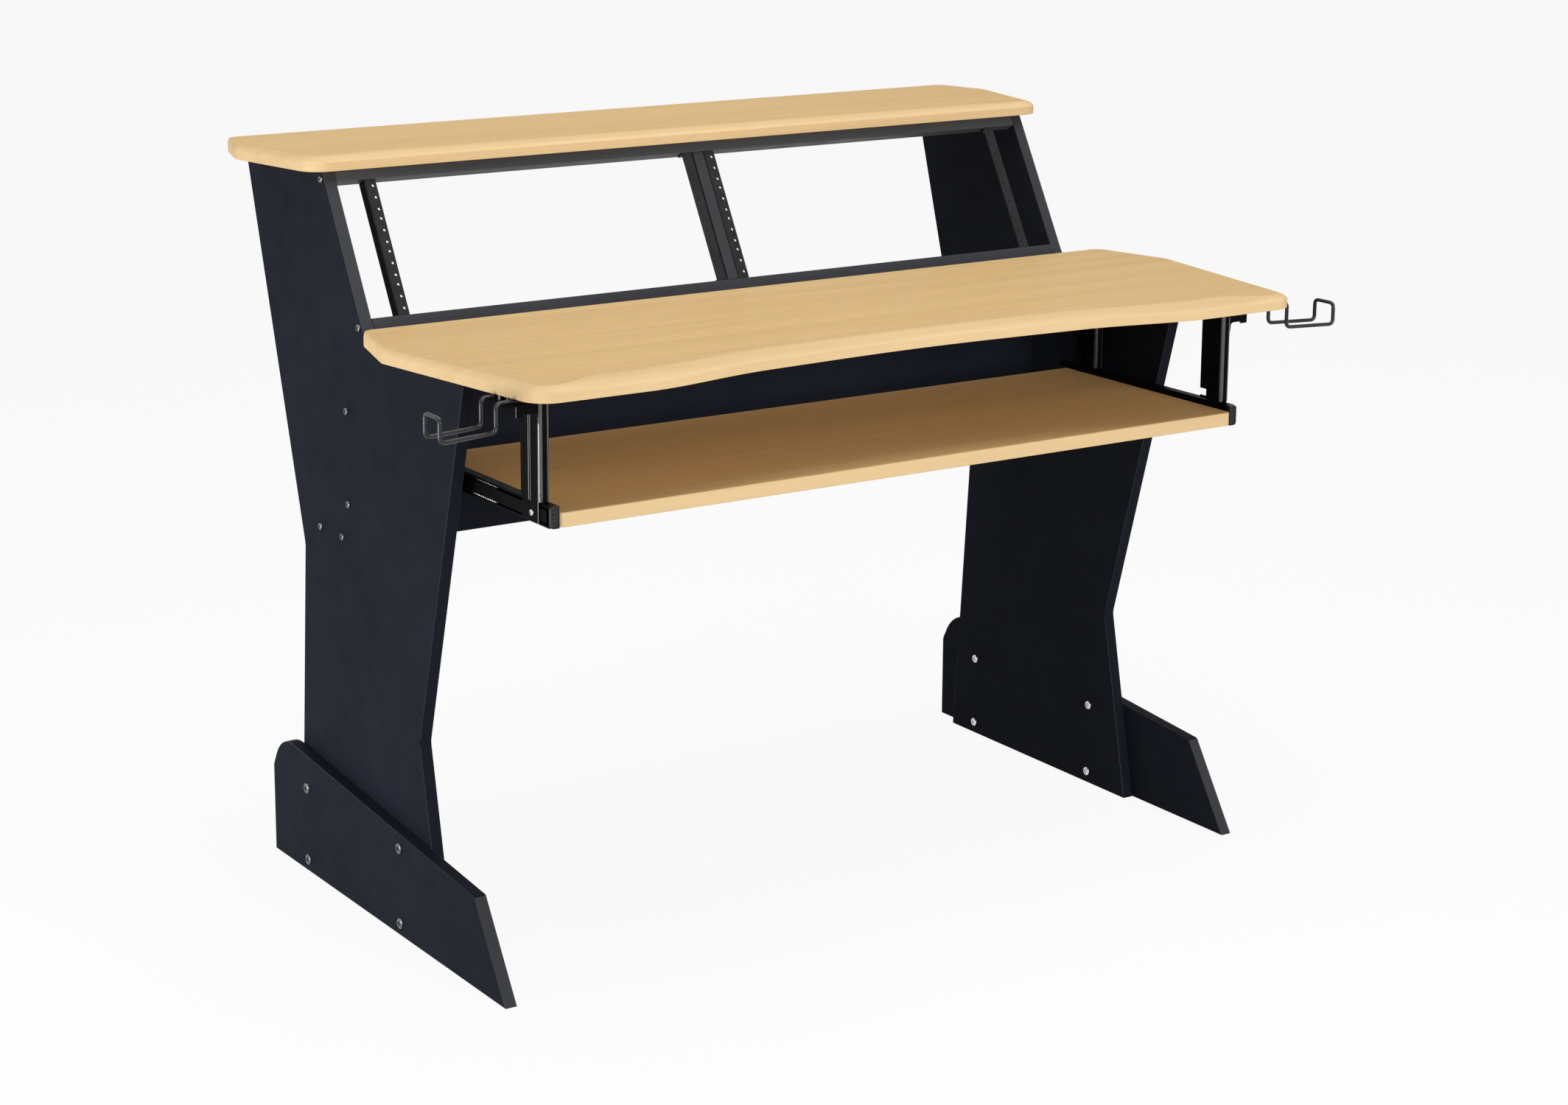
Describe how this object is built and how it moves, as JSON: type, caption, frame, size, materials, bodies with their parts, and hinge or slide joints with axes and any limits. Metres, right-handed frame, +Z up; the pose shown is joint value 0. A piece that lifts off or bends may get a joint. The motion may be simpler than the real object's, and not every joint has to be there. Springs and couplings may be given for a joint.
{
  "type": "studio desk",
  "caption": "Studio desk with a wide worktop, slanted rack bays under a raised shelf, a sliding keyboard tray and headphone hooks.",
  "frame": {"origin": "middle of the desk's box, on the floor", "axes": "+Z up, -Y towards the person who sits at the desk, +X to that person's right"},
  "size_m": [1.3368, 0.8, 0.9588],
  "materials": {
    "maple_top": "light maple decor, satin lacquer",
    "black_board": "black melamine board, fine matt grain",
    "black_steel": "black powder coat, semi-gloss",
    "slide_steel": "black electro coat, semi-gloss",
    "ball_cage": "bright zinc",
    "black_plastic": "moulded, matt",
    "hook_wire": "black, glossy coated wire",
    "zinc_fastener": "bright zinc"
  },
  "bodies": {
    "frame": {"worktop": "maple_top", "shelf_top": "maple_top", "side_panel_left": "black_board", "side_panel_right": "black_board", "foot_left": "black_board", "foot_right": "black_board", "modesty_panel": "black_board", "cable_board": "black_board", "rack_bar_top": "black_board", "rack_bar_bottom": "black_board", "rack_divider": "black_board", "rack_rail_outer_left": "black_steel", "rack_rail_outer_right": "black_steel", "rack_rail_inner_left": "black_steel", "rack_rail_inner_right": "black_steel", "hanger_front_left": "black_steel", "hanger_front_right": "black_steel", "hanger_rear_left": "black_steel", "hanger_rear_right": "black_steel", "hook_plate_left": "black_steel", "hook_plate_right": "black_steel", "hook_wire_left": "hook_wire", "hook_wire_right": "hook_wire", "slide_runner_left": "slide_steel", "slide_runner_right": "slide_steel", "foot_bolt_1_left": "zinc_fastener", "foot_bolt_1_right": "zinc_fastener", "foot_bolt_2_left": "zinc_fastener", "foot_bolt_2_right": "zinc_fastener", "foot_bolt_3_left": "zinc_fastener", "foot_bolt_3_right": "zinc_fastener", "foot_bolt_4_left": "zinc_fastener", "foot_bolt_4_right": "zinc_fastener", "modesty_screw_1_left": "zinc_fastener", "modesty_screw_1_right": "zinc_fastener", "modesty_screw_2_left": "zinc_fastener", "modesty_screw_2_right": "zinc_fastener", "cable_board_screw_1_left": "zinc_fastener", "cable_board_screw_1_right": "zinc_fastener", "cable_board_screw_2_left": "zinc_fastener", "cable_board_screw_2_right": "zinc_fastener", "rack_bar_top_screw_1_left": "zinc_fastener", "rack_bar_top_screw_1_right": "zinc_fastener", "rack_bar_bottom_screw_1_left": "zinc_fastener", "rack_bar_bottom_screw_1_right": "zinc_fastener", "slide_screw_front_left": "zinc_fastener", "slide_screw_front_right": "zinc_fastener", "slide_screw_rear_left": "zinc_fastener", "slide_screw_rear_right": "zinc_fastener", "hanger_screw_front_left": "zinc_fastener", "hanger_screw_front_right": "zinc_fastener", "hanger_screw_rear_left": "zinc_fastener", "hanger_screw_rear_right": "zinc_fastener"},
    "tray": {"keyboard_tray": "maple_top", "slide_channel_left": "slide_steel", "slide_channel_right": "slide_steel", "slide_cap_left": "black_plastic", "slide_cap_right": "black_plastic"},
    "cage_left": {"slide_cage_left": "ball_cage"},
    "cage_right": {"slide_cage_right": "ball_cage"}
  },
  "joints": [
    {"name": "tray_slide", "type": "slide", "parent": "frame", "child": "tray", "axis": [0, -1, 0], "range_m": [0, 0.22]},
    {"name": "cage_left_slide", "type": "slide", "parent": "frame", "child": "cage_left", "axis": [0, -1, 0], "range_m": [0, 0.11]},
    {"name": "cage_right_slide", "type": "slide", "parent": "frame", "child": "cage_right", "axis": [0, -1, 0], "range_m": [0, 0.11]}
  ],
  "couplings": [
    {"joint": "cage_left_slide", "follows": "tray_slide", "ratio": 0.5},
    {"joint": "cage_right_slide", "follows": "tray_slide", "ratio": 0.5}
  ]
}
